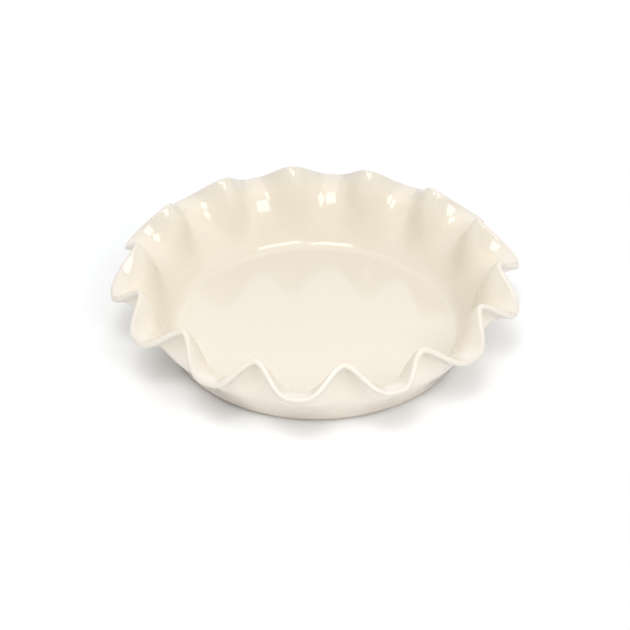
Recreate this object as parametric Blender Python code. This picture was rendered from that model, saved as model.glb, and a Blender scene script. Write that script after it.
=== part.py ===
"""A round clafoutis dish with a ruffled lip, in glazed stoneware.

The dish is one piece of fired clay: a flat floor, a wall that leans outward and grows into waves,
and a low foot ring. A coat of glaze covers the floor, the wall, the lip and the outside down to
the foot, which is wiped dry so that it doesn't stick in the kiln. A second area of glaze fills
the recess inside the foot ring.

Metres, +Z up. The origin is the middle of the foot's resting plane, and the front is -Y.
"""

import math

import bmesh
import bpy
import numpy as np

# The whole dish
WAVES = 14                           # pinches round the lip, with as many lobes between them
FIRST_PINCH = math.radians(-82.3)    # direction of the pinch nearest the front
LOBE_RADIUS = 0.1439                 # food-side edge of the lip, where a lobe reaches out
LOBE_HEIGHT = 0.0494
PINCH_RADIUS = 0.1258                # food-side edge of the lip, where a pinch draws in
PINCH_HEIGHT = 0.0646
WALL = 0.0067                        # clay and glaze together, where the wall leaves the floor
LIP = 0.0048                         # the same at the lip, across its rounded edge

# The waves
PINCH_SHARPNESS = 0.24               # 0 makes even waves, more makes narrow pinches and wide lobes
WAVE_LEAN = 0.0032                   # how far the lip is dragged back and forth along itself
LEAN_BELOW_LIP = 1.1                 # how far the wall below the lip is dragged, beside the lip itself
PINCH_SLOPE = math.radians(47.4)     # the wall's slope where it meets the lip
LOBE_SLOPE = math.radians(0.5)
LIP_CURVE = 0.0199                   # how far down the wall the lip's own slope carries

# The waves are pressed by hand, so a few of them stray from the even round. The number is the
# wave's, counted anticlockwise from the front, and a lobe follows the pinch of its number.
PINCH_OUT = {1: 0.0015, 5: -0.0010, 6: -0.0015, 8: 0.0010, 9: 0.0010, 10: 0.0010, 11: 0.0010,
             12: -0.0010}
LOBE_OUT = {1: -0.0010, 3: 0.0010}
PINCH_UP = {0: -0.0010, 1: -0.0015, 2: 0.0020, 9: 0.0010, 10: 0.0015, 11: -0.0010, 13: -0.0015}
LOBE_UP = {5: -0.0010, 6: -0.0010, 8: 0.0010}
PINCH_TURN = {1: math.radians(-1.5), 4: math.radians(1.0), 7: math.radians(1.0)}
LOBE_TURN = {10: math.radians(2.0), 12: math.radians(1.5)}

# The floor and the lower wall
FLOOR_RADIUS = 0.1028                # where the floor and the wall would meet without a fillet
FLOOR_HEIGHT = 0.0055
WALL_SLOPE = math.radians(59.0)      # the wall's slope where it leaves the floor
WALL_CURVE = 0.0236                  # how far up the wall that slope carries
FLOOR_FILLET = 0.0100

# The foot
FOOT_RADIUS = 0.1063                 # outside of the glazed wall, just above the foot
SHOULDER = 0.29                      # the share of the wall above which both its sides run alike
SHOULDER_CURVE = 0.0039
FOOT_RISE = 0.0016                   # height of the dry band at which the glaze stops
FOOT_CORNER = 0.0010
FOOT_WIDTH = 0.0060
RECESS_DEPTH = 0.0012

# The glaze
GLAZE = 0.0005
CLEARANCE = 0.0003                   # between the clay and the glaze

# The mesh
COLUMNS_PER_WAVE = 10
COLUMN_BUNCHING = 0.25               # draws the columns together at the pinches
FILLET_ROWS = 2
WALL_ROWS = 6
LIP_ROWS = 4
OUTSIDE_ROWS = 5
SHOULDER_ROWS = 3
STEP = 1e-4                          # of a wall's length or a wave, for slopes by difference
SHARP = math.radians(50)             # edges that turn more than this are shaded as corners

# The finishes: colour, roughness
CLAY_FINISH = ((0.72, 0.58, 0.44), 0.85)
GLAZE_FINISH = ((0.79, 0.73, 0.64), 0.12)


def stray(phase, pinches, lobes):
    """The waves' own errors: each is full at its pinch or lobe and gone at the next one."""
    total = np.zeros_like(phase)
    circuit = math.tau * WAVES
    for table, start in ((pinches, 0.0), (lobes, math.pi)):
        for number, amount in table.items():
            if number >= WAVES:
                continue
            away = (phase - start - math.tau * number + circuit / 2) % circuit - circuit / 2
            near = np.abs(away) < math.pi
            total = total + np.where(near, amount * (1 + np.cos(away)) / 2, 0.0)
    return total


def lobe_share(phase):
    """0 at a pinch and 1 at a lobe."""
    return (1 - np.cos(phase) + PINCH_SHARPNESS * (1 - np.cos(2 * phase))) / 2


def fillet_length():
    """From the floor's corner to the fillet's end, along the floor or the wall."""
    return FLOOR_FILLET * math.tan(WALL_SLOPE / 2)


def around(radius, height, angle):
    """Points at a radius and a height, in the direction of an angle."""
    radius, height, angle = np.broadcast_arrays(radius, height, angle)
    return np.stack([radius * np.cos(angle), radius * np.sin(angle), height], axis=-1)


def direction(phase):
    """The angle round the dish of a phase of the waves."""
    return FIRST_PINCH + phase / WAVES + stray(phase, PINCH_TURN, LOBE_TURN)


def blend(start, start_handle, end_handle, end, share):
    """A Bezier curve's value."""
    left = 1 - share
    return (left ** 3 * start + 3 * left ** 2 * share * start_handle
            + 3 * left * share ** 2 * end_handle + share ** 3 * end)


def wall_point(phase, share):
    """The food side of the wall: share 0 is the fillet's end, 1 the lip's edge."""
    lobe = lobe_share(phase)
    edge_radius = (PINCH_RADIUS + (LOBE_RADIUS - PINCH_RADIUS) * lobe
                   + stray(phase, PINCH_OUT, LOBE_OUT))
    edge_height = (PINCH_HEIGHT + (LOBE_HEIGHT - PINCH_HEIGHT) * lobe
                   + stray(phase, PINCH_UP, LOBE_UP))
    lip_slope = PINCH_SLOPE + (LOBE_SLOPE - PINCH_SLOPE) * lobe
    foot_radius = FLOOR_RADIUS + fillet_length() * math.cos(WALL_SLOPE)
    foot_height = FLOOR_HEIGHT + fillet_length() * math.sin(WALL_SLOPE)
    radius = blend(foot_radius, foot_radius + WALL_CURVE * math.cos(WALL_SLOPE),
                   edge_radius - LIP_CURVE * np.cos(lip_slope), edge_radius, share)
    height = blend(foot_height, foot_height + WALL_CURVE * math.sin(WALL_SLOPE),
                   edge_height - LIP_CURVE * np.sin(lip_slope), edge_height, share)
    lean = WAVE_LEAN * np.sin(phase)
    drag = blend(0.0, 0.0, LEAN_BELOW_LIP * lean, lean, share)
    return around(radius, height, direction(phase) + drag / radius)


def unit(vectors):
    return vectors / np.linalg.norm(vectors, axis=-1, keepdims=True)


def slopes(surface, phase, share):
    """The unit vectors along a surface's share and square to it, into the clay."""
    along = surface(phase, share + STEP) - surface(phase, share - STEP)
    across = surface(phase + STEP, share) - surface(phase - STEP, share)
    return unit(along), unit(np.cross(across, along))


def thickness(share):
    """The wall thins smoothly from its foot to the lip."""
    return WALL + (LIP - WALL) * share * share * (3 - 2 * share)


def outside_point(phase, share):
    """The outer side of the wall, its thickness behind the food side."""
    into = slopes(wall_point, phase, share)[1]
    return wall_point(phase, share) + thickness(share) * into


def shoulder_point(phase, share):
    """The outside below the shoulder: share 0 is the shoulder, 1 the glaze's lower edge."""
    upward = slopes(wall_point, phase, SHOULDER)[0]
    top = outside_point(phase, SHOULDER)
    bottom = around(FOOT_RADIUS, FOOT_RISE, direction(phase))
    rising = np.array([0.0, 0.0, SHOULDER_CURVE])
    return blend(top, top - SHOULDER_CURVE * upward, bottom + rising, bottom, share)


def skin_rows(phase):
    """The dish's outer skin from the floor's edge over the lip to the foot: rows of points,
    and for each point the direction into the clay."""
    rows = []
    angle = direction(phase)
    fillet_start = FLOOR_RADIUS - fillet_length()
    for step in range(FILLET_ROWS):
        tilt = WALL_SLOPE * step / FILLET_ROWS
        point = around(fillet_start + FLOOR_FILLET * math.sin(tilt),
                       FLOOR_HEIGHT + FLOOR_FILLET * (1 - math.cos(tilt)), angle)
        rows.append((point, around(math.sin(tilt), -math.cos(tilt), angle)))
    for step in range(WALL_ROWS + 1):
        share = step / WALL_ROWS
        rows.append((wall_point(phase, share), slopes(wall_point, phase, share)[1]))
    edge = wall_point(phase, 1.0)
    upward, into = slopes(wall_point, phase, 1.0)
    for step in range(1, LIP_ROWS):
        turn = math.pi * step / LIP_ROWS
        outward = -math.cos(turn) * into + math.sin(turn) * upward
        rows.append((edge + LIP / 2 * (into + outward), -outward))
    for step in range(OUTSIDE_ROWS + 1):
        share = 1 - (1 - SHOULDER) * step / OUTSIDE_ROWS
        rows.append((outside_point(phase, share), -slopes(wall_point, phase, share)[1]))
    for step in range(1, SHOULDER_ROWS + 1):
        share = step / SHOULDER_ROWS
        rows.append((shoulder_point(phase, share), slopes(shoulder_point, phase, share)[1]))
    return rows


def sunk(rows, depth):
    """The skin's rows, a depth below its surface."""
    return [points + depth * into for points, into in rows]


def material(name, finish):
    colour, roughness = finish
    made = bpy.data.materials.new(name)
    made.use_nodes = True
    made.diffuse_color = (*colour, 1.0)
    shader = made.node_tree.nodes["Principled BSDF"]
    shader.inputs["Base Color"].default_value = (*colour, 1.0)
    shader.inputs["Roughness"].default_value = roughness
    shader.inputs["Metallic"].default_value = 0.0
    return made


def stacked(name, levels, finish):
    """A closed body through a stack of rings, each a level number and its points.

    A disc closes the first ring, each ring after it is an extrusion of the last one's edge, and
    a disc closes the last. Each face is cut on the slant from its lower level's first corner, so
    the faces of two layers that share their levels stay parallel.
    """
    level, points = levels[0]
    mesh = bmesh.new()
    ring = bmesh.ops.create_circle(mesh, cap_ends=True, segments=len(points), radius=1.0)["verts"]
    for vertex, point in zip(ring, points):
        vertex.co = point
    edges = [edge for edge in mesh.edges if edge.is_boundary]
    for next_level, points in levels[1:]:
        grown = bmesh.ops.extrude_edge_only(mesh, edges=edges)["geom"]
        new = {item for item in grown if isinstance(item, bmesh.types.BMVert)}
        edges = [item for item in grown if isinstance(item, bmesh.types.BMEdge)
                 and item.verts[0] in new and item.verts[1] in new]
        next_ring = []
        for vertex, point in zip(ring, points):
            over = [edge.other_vert(vertex) for edge in vertex.link_edges]
            raised = next(other for other in over if other in new)
            raised.co = point
            next_ring.append(raised)
        lower, upper = (ring, next_ring) if next_level >= level else (next_ring, ring)
        for column, corner in enumerate(lower):
            opposite = upper[(column + 1) % len(upper)]
            face = next(face for face in corner.link_faces if opposite in face.verts)
            bmesh.utils.face_split(face, corner, opposite)
        level, ring = next_level, next_ring
    bmesh.ops.contextual_create(mesh, geom=edges)
    bmesh.ops.recalc_face_normals(mesh, faces=mesh.faces)
    return finished(name, mesh, finish)


def finished(name, mesh, finish):
    """The mesh as an object of the scene, smooth apart from its corners."""
    data = bpy.data.meshes.new(name)
    mesh.to_mesh(data)
    mesh.free()
    data.shade_smooth()
    data.set_sharp_from_angle(angle=SHARP)
    data.materials.append(material(name, finish))
    made = bpy.data.objects.new(name, data)
    bpy.context.scene.collection.objects.link(made)
    return made


def glaze_coat(rows):
    """One skin of glaze: its outer face, then back again along its face to the clay."""
    outer = list(enumerate(sunk(rows, 0.0)))
    inner = list(enumerate(sunk(rows, GLAZE)))
    return stacked("glaze_coat", outer + inner[::-1], GLAZE_FINISH)


def clay_body(rows, angle):
    """The clay under the coat, then the bare foot ring and the recess inside it."""
    levels = list(enumerate(sunk(rows, GLAZE + CLEARANCE)))
    side = FOOT_RADIUS - GLAZE - CLEARANCE
    inside = side - FOOT_WIDTH
    foot = [(side, FOOT_CORNER), (side - FOOT_CORNER, 0.0), (inside, 0.0), (inside, RECESS_DEPTH)]
    for radius, height in foot:
        levels.append((len(levels), around(radius, height, angle)))
    return stacked("clay_body", levels, CLAY_FINISH)


def base_glaze(angle):
    """The disc of glaze that lines the recess under the dish."""
    radius = FOOT_RADIUS - GLAZE - CLEARANCE - FOOT_WIDTH - CLEARANCE
    top = RECESS_DEPTH - CLEARANCE
    levels = [(0, around(radius, top - GLAZE, angle)), (1, around(radius, top, angle))]
    return stacked("base_glaze", levels, GLAZE_FINISH)


def build():
    for old in list(bpy.data.objects):
        bpy.data.objects.remove(old, do_unlink=True)
    even = np.arange(WAVES * COLUMNS_PER_WAVE) * math.tau / COLUMNS_PER_WAVE
    phase = even - COLUMN_BUNCHING * np.sin(even)
    rows = skin_rows(phase)
    angle = direction(phase)
    glaze_coat(rows)
    clay_body(rows, angle)
    base_glaze(angle)


build()
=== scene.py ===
# %% [markdown]
# # A ruffled clafoutis dish in ivory glaze
# This lesson dresses a baking dish. The dish is one piece of fired clay: a flat floor, a wall
# that leans outward, and a lip that was pinched by hand into waves. A coat of glossy ivory glaze
# covers it down to a dry foot ring, and a round of the same glaze lines the recess under it.
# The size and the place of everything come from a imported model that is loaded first. Nothing
# here moves or resizes it: fine pieces take the place of its coarse ones. Lengths are in metres.

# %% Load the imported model
import math

import bmesh
import bpy
import numpy as np
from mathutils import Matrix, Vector, noise


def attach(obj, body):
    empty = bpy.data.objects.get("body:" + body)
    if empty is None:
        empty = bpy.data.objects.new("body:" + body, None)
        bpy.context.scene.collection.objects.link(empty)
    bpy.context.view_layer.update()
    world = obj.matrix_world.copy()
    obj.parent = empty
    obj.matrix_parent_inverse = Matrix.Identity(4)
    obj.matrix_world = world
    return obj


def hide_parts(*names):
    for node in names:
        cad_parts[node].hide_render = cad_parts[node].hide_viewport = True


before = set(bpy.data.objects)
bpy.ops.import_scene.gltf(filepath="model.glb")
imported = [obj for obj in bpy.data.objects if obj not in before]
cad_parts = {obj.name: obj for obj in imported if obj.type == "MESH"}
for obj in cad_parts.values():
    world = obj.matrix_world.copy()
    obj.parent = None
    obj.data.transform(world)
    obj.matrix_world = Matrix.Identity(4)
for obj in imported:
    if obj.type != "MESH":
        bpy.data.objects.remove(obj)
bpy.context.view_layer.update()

# %% [markdown]
# The camera stands in front of the dish and looks down at it, as a cook would from across a
# table. A camera could be placed by eye, but a dish is judged by its ovals, and these follow the
# pitch and the distance closely. So the camera is an aim point near the dish's axis, a distance
# and a pitch, and the lens is long, as for product photographs.

# %% The camera
PITCH = math.radians(35.05)
DISTANCE = 1.088
LENS_MM = 85.7
AIM = Vector((-0.0012, 0.0, 0.0129))


def aimed(thing, place, target):
    """Puts a camera or a lamp at a place, looking at a target."""
    thing.location = place
    thing.rotation_euler = (Vector(target) - Vector(place)).to_track_quat("-Z", "Y").to_euler()
    bpy.context.scene.collection.objects.link(thing)
    return thing


camera_place = AIM + DISTANCE * Vector((0.0, -math.cos(PITCH), math.sin(PITCH)))
camera = aimed(bpy.data.objects.new("camera", bpy.data.cameras.new("camera")), camera_place, AIM)
camera.data.lens = LENS_MM
bpy.context.scene.camera = camera
print("camera stands", round(camera_place.length, 2), "m from the dish")

# %% [markdown]
# The ruffle is a wave that runs round the dish. One number, the phase, says where on the wave a
# point lies: a pinch, where the lip is drawn in and up, or a lobe, where it falls out and down.
# The lip could be drawn as a free curve, but a rule with a few sizes keeps every wave alike and
# easy to change. The hand that pinched the waves was not even, so a short list of strays moves
# a few of them. A stray at a pinch has faded out at the lobes beside it, and the other way round.

# %% The sizes of the waves
WAVES = 14
FIRST_PINCH = math.radians(-82.3)
LOBE_RADIUS = 0.1439
LOBE_HEIGHT = 0.0494
PINCH_RADIUS = 0.1258
PINCH_HEIGHT = 0.0646
PINCH_SHARPNESS = 0.24
PINCH_SLOPE = math.radians(47.4)
LOBE_SLOPE = math.radians(0.5)
# How far the hand strayed at a numbered pinch or lobe: outward, upward, and round the dish.
PINCH_OUT = {1: 0.0015, 5: -0.0010, 6: -0.0015, 8: 0.0010, 9: 0.0010, 10: 0.0010, 11: 0.0010,
             12: -0.0010}
LOBE_OUT = {1: -0.0010, 3: 0.0010}
PINCH_UP = {0: -0.0010, 1: -0.0015, 2: 0.0020, 9: 0.0010, 10: 0.0015, 11: -0.0010, 13: -0.0015}
LOBE_UP = {5: -0.0010, 6: -0.0010, 8: 0.0010}
PINCH_TURN = {1: math.radians(-1.5), 4: math.radians(1.0), 7: math.radians(1.0)}
LOBE_TURN = {10: math.radians(2.0), 12: math.radians(1.5)}


def stray(phase, pinches, lobes):
    """The waves' own errors: each is full at its pinch or lobe and gone half a wave away."""
    total = np.zeros_like(phase)
    circuit = math.tau * WAVES
    for table, start in ((pinches, 0.0), (lobes, math.pi)):
        for number, amount in table.items():
            away = (phase - start - math.tau * number + circuit / 2) % circuit - circuit / 2
            near = np.abs(away) < math.pi
            total = total + np.where(near, amount * (1 + np.cos(away)) / 2, 0.0)
    return total


def lobe_share(phase):
    """0 at a pinch and 1 at a lobe."""
    return (1 - np.cos(phase) + PINCH_SHARPNESS * (1 - np.cos(2 * phase))) / 2


def direction(phase):
    """The angle round the dish of a phase of the waves."""
    return FIRST_PINCH + phase / WAVES + stray(phase, PINCH_TURN, LOBE_TURN)


print("waves:", WAVES, "lobes stand", round(1000 * (LOBE_RADIUS - PINCH_RADIUS), 1), "mm proud")

# %% [markdown]
# The wall starts round at the floor and is fully waved at the lip. A Bezier curve joins the two
# at every phase. Its first two points are the same all round, and its last two belong to the
# wave, so the flutes fade out downward by themselves, as they do when soft clay is pinched. The
# waves also lean a little to one side. Sculpting would give the same look, but not an even
# thickness of clay between the two sides of the wall.

# %% The food side of the wall
FLOOR_RADIUS = 0.1028
FLOOR_HEIGHT = 0.0055
FLOOR_FILLET = 0.0100
WALL_SLOPE = math.radians(59.0)
WALL_CURVE = 0.0236
LIP_CURVE = 0.0199
WAVE_LEAN = 0.0032
LEAN_BELOW_LIP = 1.1
FILLET_LENGTH = FLOOR_FILLET * math.tan(WALL_SLOPE / 2)


def around(radius, height, angle):
    """Points at a radius and a height, in the direction of an angle."""
    radius, height, angle = np.broadcast_arrays(radius, height, angle)
    return np.stack([radius * np.cos(angle), radius * np.sin(angle), height], axis=-1)


def blend(start, start_handle, end_handle, end, share):
    """A Bezier curve's value."""
    left = 1 - share
    return (left ** 3 * start + 3 * left ** 2 * share * start_handle
            + 3 * left * share ** 2 * end_handle + share ** 3 * end)


def wall_point(phase, share):
    """The food side of the wall: share 0 is the fillet's end, 1 the lip's edge."""
    lobe = lobe_share(phase)
    edge_radius = (PINCH_RADIUS + (LOBE_RADIUS - PINCH_RADIUS) * lobe
                   + stray(phase, PINCH_OUT, LOBE_OUT))
    edge_height = (PINCH_HEIGHT + (LOBE_HEIGHT - PINCH_HEIGHT) * lobe
                   + stray(phase, PINCH_UP, LOBE_UP))
    lip_slope = PINCH_SLOPE + (LOBE_SLOPE - PINCH_SLOPE) * lobe
    start_radius = FLOOR_RADIUS + FILLET_LENGTH * math.cos(WALL_SLOPE)
    start_height = FLOOR_HEIGHT + FILLET_LENGTH * math.sin(WALL_SLOPE)
    radius = blend(start_radius, start_radius + WALL_CURVE * math.cos(WALL_SLOPE),
                   edge_radius - LIP_CURVE * np.cos(lip_slope), edge_radius, share)
    height = blend(start_height, start_height + WALL_CURVE * math.sin(WALL_SLOPE),
                   edge_height - LIP_CURVE * np.sin(lip_slope), edge_height, share)
    lean = WAVE_LEAN * np.sin(phase)
    drag = blend(0.0, 0.0, LEAN_BELOW_LIP * lean, lean, share)
    return around(radius, height, direction(phase) + drag / radius)


first_edge = wall_point(np.array([0.0]), 1.0)[0]
print("inner edge of the first pinch, mm:", [round(1000 * value, 1) for value in first_edge])

# %% [markdown]
# The outside of the wall lies its own thickness behind the food side, so the clay is as even as
# a potter keeps it. It follows the food side down to a shoulder, and there it leaves it and
# turns down to the foot, because a real dish stands on a foot that is a plain circle.

# %% The outside of the wall
WALL = 0.0067
LIP = 0.0048
FOOT_RADIUS = 0.1063
FOOT_RISE = 0.0016
SHOULDER = 0.29
SHOULDER_CURVE = 0.0039
NUDGE = 1e-4


def unit(vectors):
    """The same directions, with a length of 1."""
    return vectors / np.linalg.norm(vectors, axis=-1, keepdims=True)


def slopes(surface, phase, share):
    """The unit vectors along a surface's share and square to it, read a nudge to either side."""
    along = surface(phase, share + NUDGE) - surface(phase, share - NUDGE)
    across = surface(phase + NUDGE, share) - surface(phase - NUDGE, share)
    return unit(along), unit(np.cross(across, along))


def thickness(share):
    """The wall thins smoothly from its foot to the lip."""
    return WALL + (LIP - WALL) * share * share * (3 - 2 * share)


def outside_point(phase, share):
    """The outer side of the wall, its thickness behind the food side."""
    return wall_point(phase, share) + thickness(share) * slopes(wall_point, phase, share)[1]


def shoulder_point(phase, share):
    """The outside below the shoulder: share 0 is the shoulder, 1 the glaze's lower edge."""
    upward = slopes(wall_point, phase, SHOULDER)[0]
    top = outside_point(phase, SHOULDER)
    bottom = around(FOOT_RADIUS, FOOT_RISE, direction(phase))
    rising = np.array([0.0, 0.0, SHOULDER_CURVE])
    return blend(top, top - SHOULDER_CURVE * upward, bottom + rising, bottom, share)


print("wall, mm:", round(1000 * thickness(0.0), 1), "at its foot,", round(1000 * LIP, 1), "at the lip")

# %% [markdown]
# The dish's skin is a stack of rings from the middle of the floor, up the wall, over the rounded
# lip and down to the foot. Every ring has the same columns, drawn together a little at the
# pinches, where the clay bends most. With each point goes the direction into the clay, so that
# the underside of the glaze, and the clay below it, are the same skin sunk to a depth.
# The skin also carries marks for the painter: how far the glaze has run off the lip, which it
# does most on the lobes, and which also carries painted shade on the lit lip and just under it;
# how deep a point lies in a hollow where glaze pools; how low it lies on the outside, where the
# glaze is pinker and is painted paler as light; and whether it is floor, which is painted a
# shade darker as shade.

# %% The columns of the skin and the painter's marks
COLUMNS = 36 * WAVES
COLUMN_BUNCHING = 0.2
MARKS = ("lip", "pooled", "low", "flat")
# How much of the lip's mark of thin glaze and painted shade a pinch gets; a lobe gets all of it.
THIN_AND_SHADE_AT_PINCH = 0.55

even = np.arange(COLUMNS) * math.tau * WAVES / COLUMNS
column_phase = even - COLUMN_BUNCHING * np.sin(even)
column_angle = direction(column_phase)
column_lobe = lobe_share(column_phase)
thin_and_shade_at_lip = THIN_AND_SHADE_AT_PINCH + (1 - THIN_AND_SHADE_AT_PINCH) * column_lobe


def marked(**marks):
    """The painter's marks on one ring. A mark that isn't given is 0."""
    return {mark: np.broadcast_to(marks.get(mark, 0.0), COLUMNS) for mark in MARKS}


def near_lip(share, start):
    """The mark of thin glaze and painted shade, which begins at a share of the wall and is full at the
    lip.
    """
    return thin_and_shade_at_lip * max(0.0, share - start) / (1 - start)


print("columns:", COLUMNS)

# %% [markdown]
# Inside, the rings run from the middle of the flat floor, round the fillet at its edge and up
# the wall to the lip. Glaze pools in the fillet and in the hollows, which are the lobes here.

# %% The rings of the food side
FLOOR_ROWS = 10
FILLET_ROWS = 8
WALL_ROWS = 40
# Where the lip's mark of thin glaze and painted shade begins inside, as a share of the wall.
THIN_AND_SHADE_INSIDE = 0.72


def floor_rings():
    """The flat floor and its fillet."""
    flat = FLOOR_RADIUS - FILLET_LENGTH
    down = around(0.0, -1.0, column_angle)
    for step in range(FLOOR_ROWS):
        points = around(flat * step / FLOOR_ROWS, FLOOR_HEIGHT, column_angle)
        # The floor is marked flat, and so it is painted a shade darker, as painted shade.
        yield points, down, marked(flat=1.0)
    for step in range(FILLET_ROWS):
        share = step / FILLET_ROWS
        tilt = WALL_SLOPE * share
        points = around(flat + FLOOR_FILLET * math.sin(tilt),
                        FLOOR_HEIGHT + FLOOR_FILLET * (1 - math.cos(tilt)), column_angle)
        into = around(math.sin(tilt), -math.cos(tilt), column_angle)
        yield points, into, marked(pooled=math.sin(math.pi * share), flat=1 - share)


def wall_rings():
    """The food side of the wall, from the fillet to the lip's edge."""
    for step in range(WALL_ROWS + 1):
        share = step / WALL_ROWS
        into = slopes(wall_point, column_phase, share)[1]
        marks = marked(lip=near_lip(share, THIN_AND_SHADE_INSIDE), pooled=column_lobe * share)
        yield wall_point(column_phase, share), into, marks


inside = [*floor_rings(), *wall_rings()]
print("rings of the food side:", len(inside))

# %% [markdown]
# The lip is rounded as a wet finger leaves it, in half a circle from one side of the wall to the
# other. Outside, the hollows are the pinches.

# %% The rings of the lip and the outside
LIP_ROWS = 16
OUTSIDE_ROWS = 28
SHOULDER_ROWS = 10
# Where the lip's mark of thin glaze and painted shade begins outside; under the lip it is painted
# shade.
THIN_AND_SHADE_OUTSIDE = 0.82


def lip_rings():
    """The rounded lip, between its two edges."""
    edge = wall_point(column_phase, 1.0)
    upward, into = slopes(wall_point, column_phase, 1.0)
    for step in range(1, LIP_ROWS):
        turn = math.pi * step / LIP_ROWS
        outward = -math.cos(turn) * into + math.sin(turn) * upward
        # The whole rounded lip carries the mark of thin glaze and painted shade.
        yield edge + LIP / 2 * (into + outward), -outward, marked(lip=thin_and_shade_at_lip)


def outside_rings():
    """The outside from the lip's edge to the shoulder."""
    for step in range(OUTSIDE_ROWS + 1):
        share = 1 - (1 - SHOULDER) * step / OUTSIDE_ROWS
        into = -slopes(wall_point, column_phase, share)[1]
        marks = marked(lip=near_lip(share, THIN_AND_SHADE_OUTSIDE), pooled=(1 - column_lobe) * share,
                       low=1 - share)
        yield outside_point(column_phase, share), into, marks


def shoulder_rings():
    """The outside below the shoulder, down to the glaze's lower edge."""
    for step in range(1, SHOULDER_ROWS + 1):
        share = step / SHOULDER_ROWS
        into = slopes(shoulder_point, column_phase, share)[1]
        marks = marked(low=1 - SHOULDER + SHOULDER * share)
        yield shoulder_point(column_phase, share), into, marks


skin = [*inside, *lip_rings(), *outside_rings(), *shoulder_rings()]
print("rings of the whole skin:", len(skin))

# %% [markdown]
# A hand-formed wall is never quite even, so the surface wanders a little below its rule, as a
# slow noise says. Every layer follows the same wandering surface at its own depth. Where nobody
# looks, between the glaze and the clay, a few of the rings are enough.

# %% The skin at a depth
INSET = 0.0003
UNEVEN = 0.00022
UNEVEN_SIZE = 0.028
HIDDEN_STEP = 4


def uneven(points):
    """How far the hand-worked surface wanders below its rule, at each point."""
    return np.array([INSET + UNEVEN * (1 + noise.noise(Vector(point) / UNEVEN_SIZE)) / 2
                     for point in points])


wander = [uneven(points) for points, into, marks in skin]
hidden = sorted({*range(0, len(skin), HIDDEN_STEP), len(skin) - 1})


def sunk(depth):
    """The skin's rings, a depth below its surface."""
    return [points + (depth + low)[:, None] * into
            for (points, into, marks), low in zip(skin, wander)]


print("surface wanders by up to", round(1000 * np.ptp(wander), 2), "mm; hidden rings:", len(hidden))

# %% [markdown]
# A potter throws a round blank and presses the waves into it. The pieces are made the same way.
# Spin turns one section of the rings a full circle into a round blank, which is closed at its
# poles by merging doubles. Then every vertex is pressed to its ring's own place. Spinning gives
# clean faces for nothing, and the pressing only has to say where points go.

# %% Throw a blank and press it
POLE_MERGE = 1e-6


def finished(name, mesh):
    """An object made from a mesh that was being worked on."""
    data = bpy.data.meshes.new(name)
    mesh.to_mesh(data)
    mesh.free()
    thing = bpy.data.objects.new(name, data)
    bpy.context.scene.collection.objects.link(thing)
    return thing


def spin_blank(mesh, rings, ring_number):
    """Spins the rings' section round, and leaves its ring's number on every vertex."""
    section = []
    for number, points in enumerate(rings):
        x, y, z = points[0]
        vertex = mesh.verts.new((math.hypot(x, y), 0.0, z))
        vertex[ring_number] = number
        section.append(vertex)
    edges = [mesh.edges.new(pair) for pair in zip(section, section[1:])]
    bmesh.ops.spin(mesh, geom=section + edges, cent=(0, 0, 0), axis=(0, 0, 1), dvec=(0, 0, 0),
                   angle=math.tau, steps=COLUMNS, use_merge=True)
    bmesh.ops.remove_doubles(mesh, verts=mesh.verts, dist=POLE_MERGE)


def thrown(name, rings, marks):
    """A closed body through a stack of rings, with each ring's marks on its vertices."""
    mesh = bmesh.new()
    ring_number = mesh.verts.layers.int.new("ring")
    layers = {mark: mesh.verts.layers.float.new(mark) for mark in marks[0]}
    spin_blank(mesh, rings, ring_number)
    for vertex in mesh.verts:
        turn = math.atan2(vertex.co.y, vertex.co.x) / math.tau
        column = round(turn * COLUMNS) % COLUMNS
        number = vertex[ring_number]
        vertex.co = rings[number][column]
        for mark, layer in layers.items():
            vertex[layer] = marks[number][mark][column]
    mesh.verts.layers.int.remove(ring_number)
    bmesh.ops.recalc_face_normals(mesh, faces=mesh.faces)
    piece = finished(name, mesh)
    piece.data.shade_smooth()
    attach(piece, "root")
    print(name, "faces:", len(piece.data.polygons))
    return piece


# %% [markdown]
# The glaze is a skin half a millimetre thick. It is modelled as a real closed skin and not as a
# colour on the clay, because its rolled lower edge shows above the dry foot. The rings run down
# the outside of the skin, round its rolled edge and back up along the clay.

# %% The glaze coat
GLAZE = 0.0005
ROLL = 0.0002


def glaze_coat():
    last = len(skin) - 1
    along_clay = sunk(GLAZE)
    rings = sunk(0.0)
    rings.append(sunk(GLAZE / 2)[last] - np.array([0.0, 0.0, ROLL]))
    rings += [along_clay[number] for number in reversed(hidden)]
    numbers = [*range(len(skin)), last, *reversed(hidden)]
    ring_marks = [marks for points, into, marks in skin]
    return thrown("glaze_coat_fine", rings, [ring_marks[number] for number in numbers])


coat = glaze_coat()
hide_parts("glaze_coat")

# %% [markdown]
# Under the glaze lies the clay. Only its foot shows: a ring with rounded corners around a
# shallow recess, wiped free of glaze so that the dish doesn't stick to the kiln's shelf. The
# foot is drawn as a list of corners with arcs, and the ring's rows are joined to the skin's.

# %% The clay body
CLEARANCE = 0.0003
FOOT_WIDTH = 0.0060
FOOT_CORNER = 0.0010
RECESS_DEPTH = 0.0012
CORNER_ROWS = 6
RECESS_ROWS = 6
FOOT_OUTSIDE = FOOT_RADIUS - GLAZE - CLEARANCE - INSET
FOOT_INSIDE = FOOT_OUTSIDE - FOOT_WIDTH
QUARTER_TURN = math.pi / 2


def corner(radius, height, start, turn):
    """Radii and heights round an arc of the foot's corner."""
    for step in range(CORNER_ROWS + 1):
        tilt = start + turn * step / CORNER_ROWS
        yield radius + FOOT_CORNER * math.cos(tilt), height + FOOT_CORNER * math.sin(tilt)


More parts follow.
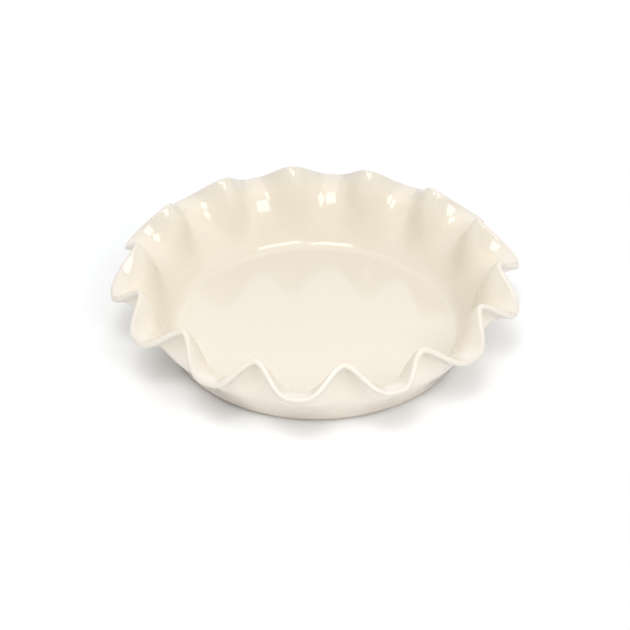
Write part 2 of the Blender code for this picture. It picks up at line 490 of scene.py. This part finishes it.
def clay_body():
    under_glaze = sunk(GLAZE + CLEARANCE)
    rings = [under_glaze[number] for number in hidden]
    foot = [*corner(FOOT_OUTSIDE - FOOT_CORNER, FOOT_CORNER, 0.0, -QUARTER_TURN)]
    foot += corner(FOOT_INSIDE + FOOT_CORNER, FOOT_CORNER, -QUARTER_TURN, -QUARTER_TURN)
    foot += [(FOOT_INSIDE * step / RECESS_ROWS, RECESS_DEPTH) for step in range(RECESS_ROWS, -1, -1)]
    rings += [around(radius, height, column_angle) for radius, height in foot]
    return thrown("clay_body_fine", rings, [{}] * len(rings))


clay = clay_body()
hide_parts("clay_body")

# %% [markdown]
# The recess under the dish has its own round of glaze. It is a thin disc whose edge is rounded
# by its own surface tension, so its section is two flat runs joined by a half circle. It is
# marked as low all over, so that it is tinted like the outside beside it: pinker, and painted
# paler as painted light.

# %% The glaze under the base
BASE_RADIUS = FOOT_INSIDE - CLEARANCE
BASE_ROWS = 8
EDGE_ROWS = 6


def base_glaze():
    top = RECESS_DEPTH - CLEARANCE
    half = GLAZE / 2
    flat = BASE_RADIUS - half
    section = [(flat * step / BASE_ROWS, top - GLAZE) for step in range(BASE_ROWS)]
    for step in range(EDGE_ROWS + 1):
        tilt = math.pi * step / EDGE_ROWS - QUARTER_TURN
        section.append((flat + half * math.cos(tilt), top - half + half * math.sin(tilt)))
    section += [(flat * step / BASE_ROWS, top) for step in range(BASE_ROWS - 1, -1, -1)]
    rings = [around(radius, height, column_angle) for radius, height in section]
    return thrown("base_glaze_fine", rings, [marked(low=1.0)] * len(rings))


base = base_glaze()
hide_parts("base_glaze")

# %% [markdown]
# A material is a small graph, and most of it is arithmetic. Wiring each Math node by hand hides
# the sum that is meant, so a class wraps a socket and turns Python's operators into Math nodes.

# %% Shader maths in Python


class Wire:
    """An output socket that can be reckoned with."""

    def __init__(self, paint, socket):
        self.paint = paint
        self.socket = socket

    def __add__(self, other):
        return self.paint.maths("ADD", self, other)

    def __sub__(self, other):
        return self.paint.maths("SUBTRACT", self, other)

    def __rsub__(self, other):
        return self.paint.maths("SUBTRACT", other, self)

    def __mul__(self, other):
        return self.paint.maths("MULTIPLY", self, other)

    __radd__ = __add__
    __rmul__ = __mul__


# %% [markdown]
# Everything that isn't arithmetic on numbers is added by one method, which takes the node's
# type, its settings and what goes into its sockets. The few nodes that this dish needs then get
# short names of their own, so that a finish reads as a painter would tell it.

# %% The painter's nodes
# A Mix node has several sockets of one name, so those for colours go by their numbers.
MIX_SHARE, MIX_FIRST, MIX_SECOND, MIX_RESULT = 0, 6, 7, 2


class Paint:
    """The nodes of a material or a world under construction, and the shader that they feed."""

    def __init__(self, owner, shader="Principled BSDF"):
        owner.use_nodes = True
        self.owner = owner
        self.tree = owner.node_tree
        self.shader = self.tree.nodes[shader]

    def add(self, kind, settings=None, inputs=None, output=0):
        """Adds a node of a type, with its settings and its sockets' values or wires."""
        node = self.tree.nodes.new(kind)
        for name, value in (settings or {}).items():
            setattr(node, name, value)
        self.plug(node, inputs or {})
        return Wire(self, node.outputs[output])

    def plug(self, node, inputs):
        """Gives a node's sockets their values or wires."""
        for name, value in inputs.items():
            if isinstance(value, Wire):
                self.tree.links.new(value.socket, node.inputs[name])
            else:
                node.inputs[name].default_value = value

    def maths(self, operation, first, second):
        return self.add("ShaderNodeMath", {"operation": operation}, {0: first, 1: second})

    def clamped(self, value):
        return self.add("ShaderNodeClamp", inputs={"Value": value})

    def between(self, share, first, second):
        """A number between two, by a share."""
        return first + share * (second - first)

    def mixed(self, share, first, second):
        """A colour between two, by a share."""
        return self.add("ShaderNodeMix", {"data_type": "RGBA"},
                        {MIX_SHARE: share, MIX_FIRST: first, MIX_SECOND: second}, MIX_RESULT)

    def noise(self, place, lumps, detail, roughness):
        """Noise from 0 to 1, with so many lumps to the metre."""
        return self.add("ShaderNodeTexNoise", inputs={
            "Vector": place, "Scale": lumps, "Detail": detail, "Roughness": roughness})

    def mark(self, name):
        """One of the painter's marks on the mesh."""
        return self.add("ShaderNodeAttribute", {"attribute_name": name}, output="Fac")

    def place(self):
        """The point's place on the object or, in a room, the way that is looked."""
        return self.add("ShaderNodeTexCoord", output="Object")

    def along(self, vector, way):
        """How far a vector points a way."""
        return self.add("ShaderNodeVectorMath", {"operation": "DOT_PRODUCT"},
                        {0: vector, 1: way}, "Value")

    def reach(self, vector):
        """How long a vector is."""
        return self.add("ShaderNodeVectorMath", {"operation": "LENGTH"}, {0: vector}, "Value")

    def looked_at(self):
        """1 where a camera or a mirror or a clear thing looks, 0 where light only falls."""
        rays = [self.add("ShaderNodeLightPath", output=output) for output in
                ("Is Camera Ray", "Is Glossy Ray", "Is Transmission Ray")]
        return self.clamped(rays[0] + rays[1] + rays[2])

    def step(self, value, low, high):
        """0 below low and 1 above high, smooth between."""
        return self.add("ShaderNodeMapRange", {"interpolation_type": "SMOOTHSTEP"},
                        {"Value": value, "From Min": low, "From Max": high})

    def bump(self, height, strength):
        """A surface raised by a height in metres."""
        return self.add("ShaderNodeBump", inputs={
            "Height": height, "Distance": 1.0, "Strength": strength})


# %% [markdown]
# The glaze is opaque ivory glass. It runs thin over the lip, where the clay greys it a little,
# and pools in the hollows, where it is warmer. The lip, which faces the light, is also painted
# darker as painted shade, and so is the outside just under it, where shade falls. The flat floor
# is painted a shade darker as painted shade, where it faces up to the light. Low on the outside
# the glaze is pinker, and it is painted paler there as painted light. Faint clouds and fine
# mottling break up its colour, and a few tiny iron specks come through from the clay. One flat
# ivory would be simpler, but a real glaze is never the same thickness twice.

# %% The colours and patterns of the glaze
IVORY = (0.752, 0.694, 0.590, 1.0)
# Thin glaze greyed by the clay, and darker still as painted shade on the lit lip and just under it.
THIN_SHADED_IVORY = (0.640, 0.594, 0.545, 1.0)
POOLED_IVORY = (0.745, 0.678, 0.558, 1.0)
# Low on the outside: a pinker glaze, and painted paler as painted light.
LOW_PINK_LIT_IVORY = (0.860, 0.770, 0.690, 1.0)
# The flat floor, painted a shade darker as painted shade where it faces up to the light.
SHADED_FLOOR_IVORY = (0.662, 0.608, 0.536, 1.0)
SPECK = (0.55, 0.42, 0.28, 1.0)
# Each pattern's lumps to the metre, its detail and its roughness.
CLOUDS = (22.0, 3.0, 0.5)
MOTTLE = (260.0, 2.0, 0.6)
SPECKS = (700.0, 0.0, 0.5)
PEEL = (90.0, 1.0, 0.5)
PINHOLES = (420.0, 0.0, 0.5)
# Where a mark or a pattern begins to show, and where it shows in full.
LOW_SHOWS = (0.05, 0.60)
SPECKS_SHOW = (0.86, 0.90)
PINHOLES_SHOW = (0.80, 0.88)
# How strongly each one shows, and how far the clouds shift the marks.
POOLED_STRENGTH = 0.8
SPECK_STRENGTH = 0.12
MOTTLE_SHADE = 0.22
CLOUD_SHADE = 0.20
LIP_SHIFT = 0.25
POOLED_SHIFT = 0.4
LOW_SHIFT = 0.15
NOISE_MIDDLE = 0.5
print("a cloud is about", round(1000 / CLOUDS[0]), "mm wide, a speck", round(1000 / SPECKS[0], 1), "mm")

# %% [markdown]
# The colours are laid over each other, and the clouds shift the edges of the pooled places, of
# the low places painted paler as light, and of the thin lip painted darker as shade, so that no
# edge follows the mesh. The surface is glossy, with a slow orange-peel unevenness and rare
# pinholes. Both are far too shallow to model, so they are a bump, in metres.

# %% The glaze
GLASS_IOR = 1.52
GLAZE_ROUGHNESS = 0.07
MOTTLE_ROUGHNESS = 0.05
PEEL_HEIGHT = 0.00010
PINHOLE_DEPTH = 0.00005
GLAZE_RELIEF = 0.6


def glaze_paint():
    paint = Paint(bpy.data.materials.new("ivory_glaze"))
    place = paint.place()
    clouds = paint.noise(place, *CLOUDS)
    mottle = paint.noise(place, *MOTTLE)
    shift = clouds - NOISE_MIDDLE
    pooled = paint.clamped(POOLED_STRENGTH * paint.mark("pooled") + POOLED_SHIFT * shift)
    low = paint.step(paint.mark("low") + LOW_SHIFT * shift, *LOW_SHOWS)
    lip = paint.clamped(paint.mark("lip") + LIP_SHIFT * shift)
    colour = paint.mixed(pooled, IVORY, POOLED_IVORY)
    # Painted shade: the flat floor is a shade darker where it faces up to the light.
    colour = paint.mixed(paint.mark("flat"), colour, SHADED_FLOOR_IVORY)
    # Low on the outside: pinker, and painted paler as painted light.
    colour = paint.mixed(low, colour, LOW_PINK_LIT_IVORY)
    # The lip: thin glaze, and painted shade on the lit lip and just under it.
    colour = paint.mixed(lip, colour, THIN_SHADED_IVORY)
    shade = paint.clamped(MOTTLE_SHADE * mottle + CLOUD_SHADE * clouds)
    colour = paint.mixed(shade, colour, POOLED_IVORY)
    specks = paint.step(paint.noise(place, *SPECKS), *SPECKS_SHOW)
    colour = paint.mixed(SPECK_STRENGTH * specks, colour, SPECK)
    pinholes = paint.step(paint.noise(place, *PINHOLES), *PINHOLES_SHOW)
    height = PEEL_HEIGHT * paint.noise(place, *PEEL) - PINHOLE_DEPTH * pinholes
    paint.plug(paint.shader, {
        "Base Color": colour,
        "Roughness": GLAZE_ROUGHNESS + MOTTLE_ROUGHNESS * mottle,
        "IOR": GLASS_IOR,
        "Normal": paint.bump(height, GLAZE_RELIEF)})
    return paint.owner


ivory = glaze_paint()
for piece in (coat, base):
    piece.data.materials.append(ivory)
print("glaze nodes:", len(ivory.node_tree.nodes))

# %% [markdown]
# The bare clay of the foot is fired but never glazed, so it is matt and buff. It has pale
# patches, a fine grain of sand and darker pores that are sunk into it. Its grain is far finer
# than the glaze's mottling, so it is a material of its own and not a rougher glaze.

# %% The bare clay
BUFF = (0.66, 0.53, 0.40, 1.0)
PALE_BUFF = (0.76, 0.66, 0.54, 1.0)
PORE = (0.34, 0.25, 0.18, 1.0)
# Each pattern's lumps to the metre, its detail and its roughness.
PATCHES = (45.0, 4.0, 0.6)
SAND = (1500.0, 2.0, 0.7)
PORES = (900.0, 1.0, 0.5)
PORES_SHOW = (0.62, 0.74)
PORE_STRENGTH = 0.5
SAND_STRENGTH = 0.25
SAND_HEIGHT = 0.00006
PORE_DEPTH = 0.00008
CLAY_ROUGHNESS = 0.80
SAND_ROUGHNESS = 0.15
CLAY_RELIEF = 0.8


def clay_paint():
    paint = Paint(bpy.data.materials.new("bare_clay"))
    place = paint.place()
    sand = paint.noise(place, *SAND)
    pores = paint.step(paint.noise(place, *PORES), *PORES_SHOW)
    colour = paint.mixed(paint.noise(place, *PATCHES), BUFF, PALE_BUFF)
    colour = paint.mixed(PORE_STRENGTH * pores, colour, PORE)
    colour = paint.mixed(SAND_STRENGTH * sand, colour, PALE_BUFF)
    height = SAND_HEIGHT * sand - PORE_DEPTH * pores
    paint.plug(paint.shader, {
        "Base Color": colour,
        "Roughness": CLAY_ROUGHNESS + SAND_ROUGHNESS * sand,
        "Normal": paint.bump(height, CLAY_RELIEF)})
    return paint.owner


bare_clay = clay_paint()
clay.data.materials.append(bare_clay)
print("clay nodes:", len(bare_clay.node_tree.nodes))

# %% [markdown]
# The dish stands on a plain white floor in a room like a photographer's. Round the dish the
# floor is matt, so it shows no reflections, only the dish's shadow. Farther off it fades into a
# backdrop of plain white, as a sweep of paper does. More lamps would also turn the floor white,
# but they would bleach the dish and fill its shadow. So the backdrop is only looked at, by the
# camera or by the glaze as a mirror, and sheds no light of its own. The floor near the dish is
# looked at as a slightly darker paper than the one that lights the dish from below, so that it
# comes out just white and the shadow keeps its depth.

# %% The floor
FLOOR_REACH = 4.0
FADE_BEGINS = 0.155
FADE_ENDS = 0.27
FLOOR_WHITE = (0.910, 0.932, 0.948, 1.0)
FLOOR_SEEN = (0.822, 0.834, 0.842, 1.0)
FLOOR_GREY = (0.740, 0.755, 0.765, 1.0)
PAPER_GRAIN = (60.0, 2.0, 0.5)
GRAIN_STRENGTH = 0.03
PAPER_ROUGHNESS = 0.9
WHITE = (1.0, 1.0, 1.0, 1.0)
BLACK = (0.0, 0.0, 0.0, 1.0)


def paper_paint():
    paint = Paint(bpy.data.materials.new("white_floor"))
    place = paint.place()
    seen = paint.looked_at()
    far = paint.step(paint.reach(place), FADE_BEGINS, FADE_ENDS) * seen
    paper = paint.mixed(seen, FLOOR_WHITE, FLOOR_SEEN)
    paper = paint.mixed(GRAIN_STRENGTH * paint.noise(place, *PAPER_GRAIN), paper, FLOOR_GREY)
    paint.plug(paint.shader, {
        "Base Color": paint.mixed(far, paper, BLACK),
        "Roughness": PAPER_ROUGHNESS,
        "Specular IOR Level": 0.0,
        "Emission Color": paint.mixed(far, BLACK, WHITE),
        "Emission Strength": 1.0})
    return paint.owner


mesh = bmesh.new()
bmesh.ops.create_grid(mesh, x_segments=2, y_segments=2, size=FLOOR_REACH)
floor_sheet = finished("floor", mesh)
floor_sheet.data.materials.append(paper_paint())
print("floor reaches", FLOOR_REACH, "m and has faded to white at", FADE_ENDS, "m")

# %% [markdown]
# Glossy glaze shows its lamps. Two soft boxes stand side by side high in front, and their twin
# reflections lie in every flute and along the floor's fillet. They are wide, so by themselves
# they cast hardly any shadow. A small key lamp between them draws the shadows of the lobes, and
# it is left out of the reflections, where a third glint would crowd each flute.

# %% The lamps
LAMP_DISTANCE = 1.6
LAMP_TARGET = (0.0, 0.0, 0.02)
# Each lamp's name, how many degrees it stands to the right of the front and how many above the
# floor, its width, its height, its watts, and whether the glaze mirrors it.
LAMPS = (
    ("left_box", -17.6, 57.7, 0.64, 0.68, 7.4, True),
    ("right_box", 32.9, 45.2, 0.82, 0.57, 7.8, True),
    ("key", 0.0, 60.0, 0.36, 0.36, 3.6, False),
)


def soft_box(name, azimuth, elevation, width, height, watts, mirrored):
    data = bpy.data.lights.new(name, "AREA")
    data.shape = "RECTANGLE"
    data.size = width
    data.size_y = height
    data.energy = watts
    turn, rise = math.radians(azimuth), math.radians(elevation)
    level = math.cos(rise)
    outward = Vector((math.sin(turn) * level, -math.cos(turn) * level, math.sin(rise)))
    lamp = aimed(bpy.data.objects.new(name, data), LAMP_DISTANCE * outward, LAMP_TARGET)
    lamp.visible_glossy = mirrored


for lamp_sizes in LAMPS:
    soft_box(*lamp_sizes)
print("lamps:", ", ".join(name for name, *sizes in LAMPS))

# %% [markdown]
# The rest of the light comes from the room, which is one Background node whose strength follows
# the direction. It is dim in front, so the lamps stay crisp. It is pale at the sides and white
# overhead, which lights the outside of the wall and the flared lobes. High behind the dish is a
# bright window. The flat floor of the dish mirrors it, with the ruffled lip in front of it.

# %% The room
ROOM_FRONT = 0.32
ROOM_BACK = 0.65
ROOM_SIDES = 1.0
ROOM_ABOVE = 1.15
ROOM_WINDOW = 1.35
RIGHTWARD = (1.0, 0.0, 0.0)
BACKWARD = (0.0, 1.0, 0.0)
UPWARD = (0.0, 0.0, 1.0)
WINDOWWARD = (0.0, 0.82, 0.57)
# How far a direction points a way where a part of the room begins, and where it is reached. The
# sides go by the square of it, which is the same to the left and to the right.
BACK_REACHED = (-0.2, 0.5)
SIDES_REACHED = (0.35, 0.60)
SIDES_LEFT_BELOW = (0.42, 0.60)
ABOVE_REACHED = (0.80, 0.92)
WINDOW_REACHED = (0.90, 0.95)


def room():
    world = bpy.data.worlds.new("room")
    bpy.context.scene.world = world
    paint = Paint(world, "Background")
    looking = paint.place()
    aside, behind, above, window = (paint.along(looking, way)
                                    for way in (RIGHTWARD, BACKWARD, UPWARD, WINDOWWARD))
    sides = paint.step(aside * aside, *SIDES_REACHED) * (1 - paint.step(above, *SIDES_LEFT_BELOW))
    strength = paint.between(paint.step(behind, *BACK_REACHED), ROOM_FRONT, ROOM_BACK)
    strength = paint.between(sides, strength, ROOM_SIDES)
    strength = paint.between(paint.step(above, *ABOVE_REACHED), strength, ROOM_ABOVE)
    strength = paint.between(paint.step(window, *WINDOW_REACHED), strength, ROOM_WINDOW)
    paint.plug(paint.shader, {"Color": WHITE, "Strength": strength})
    return world


print("room nodes:", len(room().node_tree.nodes))
bpy.context.scene.view_settings.view_transform = "Standard"
